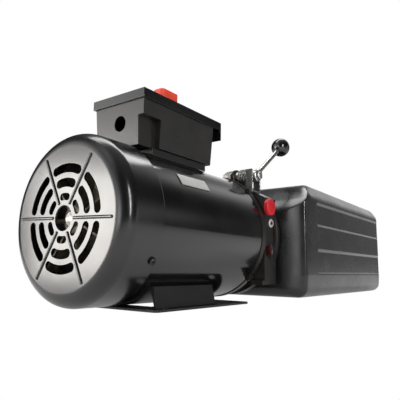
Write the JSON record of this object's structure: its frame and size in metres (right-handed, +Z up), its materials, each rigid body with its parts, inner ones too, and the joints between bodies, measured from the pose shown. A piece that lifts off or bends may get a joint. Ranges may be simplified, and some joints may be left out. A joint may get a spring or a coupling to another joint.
{
  "type": "hydraulic power unit",
  "caption": "Horizontal electric motor with fan cover and control box, gear pump manifold with release lever and ports, and a moulded oil tank on one axis.",
  "frame": {"origin": "on the floor, under the middle of the whole unit's length and width", "axes": "+X along the motor shaft from the fan cover towards the tank, +Z up; the ports and the lever are on the -Y side"},
  "size_m": [0.6844, 0.232, 0.2502],
  "materials": {
    "black_enamel": "high-gloss black enamel over pressed steel",
    "black_powder_coat": "satin black powder coat",
    "black_cast": "black paint over a cast surface",
    "tank_plastic": "blow-moulded black polyethylene, semi-gloss",
    "black_moulding": "glossy black moulding",
    "zinc_plate": "bright zinc plate",
    "black_oxide": "black oxide",
    "ground_steel": "ground steel",
    "spring_steel": "drawn spring wire",
    "laminated_steel": "stacked electrical sheet",
    "enamelled_copper": "varnished copper winding",
    "cast_aluminium": "as-cast aluminium",
    "nameplate_metal": "blank rolled aluminium plate",
    "fan_plastic": "ivory moulded plastic",
    "red_rubber": "orange-red moulded rubber boot",
    "red_plastic": "red moulded plug",
    "dark_red_plastic": "dark red moulded plug",
    "oil_line": "black nylon tube",
    "strainer_mesh": "woven steel mesh",
    "nitrile": "black nitrile"
  },
  "bodies": {
    "frame": {"fan_cover": "black_enamel", "motor_shell": "black_enamel", "box_lid": "black_enamel", "motor_base": "black_powder_coat", "box_saddle": "black_powder_coat", "box_body": "black_powder_coat", "pump_end_bell": "black_cast", "manifold_block": "black_cast", "clamp_ring": "black_cast", "tank": "tank_plastic", "switch_housing": "black_moulding", "start_capacitor": "black_moulding", "fan_cover_screw_1": "black_oxide", "fan_cover_screw_2": "black_oxide", "fan_cover_screw_3": "black_oxide", "through_bolt_1": "zinc_plate", "through_bolt_2": "zinc_plate", "through_bolt_3": "zinc_plate", "through_bolt_4": "zinc_plate", "lid_screw_1": "zinc_plate", "lid_screw_2": "zinc_plate", "relief_cap": "zinc_plate", "valve_body": "zinc_plate", "lever_bracket": "zinc_plate", "pump_bolt_1": "zinc_plate", "pump_bolt_2": "zinc_plate", "check_plug": "zinc_plate", "valve_lock_ring": "black_oxide", "fan_end_bearing": "ground_steel", "pump_end_bearing": "ground_steel", "check_ball": "ground_steel", "relief_poppet": "ground_steel", "button_spring": "spring_steel", "check_spring": "spring_steel", "relief_spring": "spring_steel", "lever_spring": "spring_steel", "stator_core": "laminated_steel", "stator_winding": "enamelled_copper", "fan_end_bell": "cast_aluminium", "pump_body": "cast_aluminium", "pump_cover": "cast_aluminium", "nameplate": "nameplate_metal", "pressure_port_plug": "red_plastic", "return_port_plug": "dark_red_plastic", "suction_tube": "oil_line", "return_tube": "oil_line", "suction_strainer": "strainer_mesh", "tank_o_ring": "nitrile"},
    "rotor": {"cooling_fan": "fan_plastic", "rotor_core": "laminated_steel", "motor_shaft": "ground_steel", "drive_coupling": "ground_steel", "drive_gear": "ground_steel"},
    "idler": {"driven_gear": "ground_steel"},
    "button": {"push_button": "red_rubber"},
    "lever": {"valve_spindle": "zinc_plate", "lever_hub": "zinc_plate", "lever_rod": "zinc_plate", "lever_knob": "black_moulding"},
    "filler": {"filler_cap": "black_moulding"}
  },
  "joints": [
    {"name": "shaft_spin", "type": "hinge", "parent": "frame", "child": "rotor", "pos_m": [-0.1908, 0, 0.0889], "axis": [1, 0, 0], "continuous": true},
    {"name": "idler_spin", "type": "hinge", "parent": "frame", "child": "idler", "pos_m": [-0.0308, 0, 0.0589], "axis": [1, 0, 0], "continuous": true},
    {"name": "button_press", "type": "slide", "parent": "frame", "child": "button", "axis": [0, 0, -1], "range_m": [0, 0.004], "stiffness_N_per_m": 400, "springref_m": -0.004, "deforming": ["button_spring"]},
    {"name": "release_lever", "type": "hinge", "parent": "frame", "child": "lever", "pos_m": [-0.0698, -0.059, 0.1719], "axis": [0, 1, 0], "range_deg": [0, 25], "stiffness_Nm_per_rad": 0.5, "springref_deg": -34.38},
    {"name": "filler_turn", "type": "hinge", "parent": "frame", "child": "filler", "pos_m": [0.0792, 0.03, 0.1789], "axis": [0, 0, 1], "range_deg": [0, 90]}
  ],
  "couplings": [
    {"joint": "idler_spin", "follows": "shaft_spin", "ratio": -1}
  ]
}
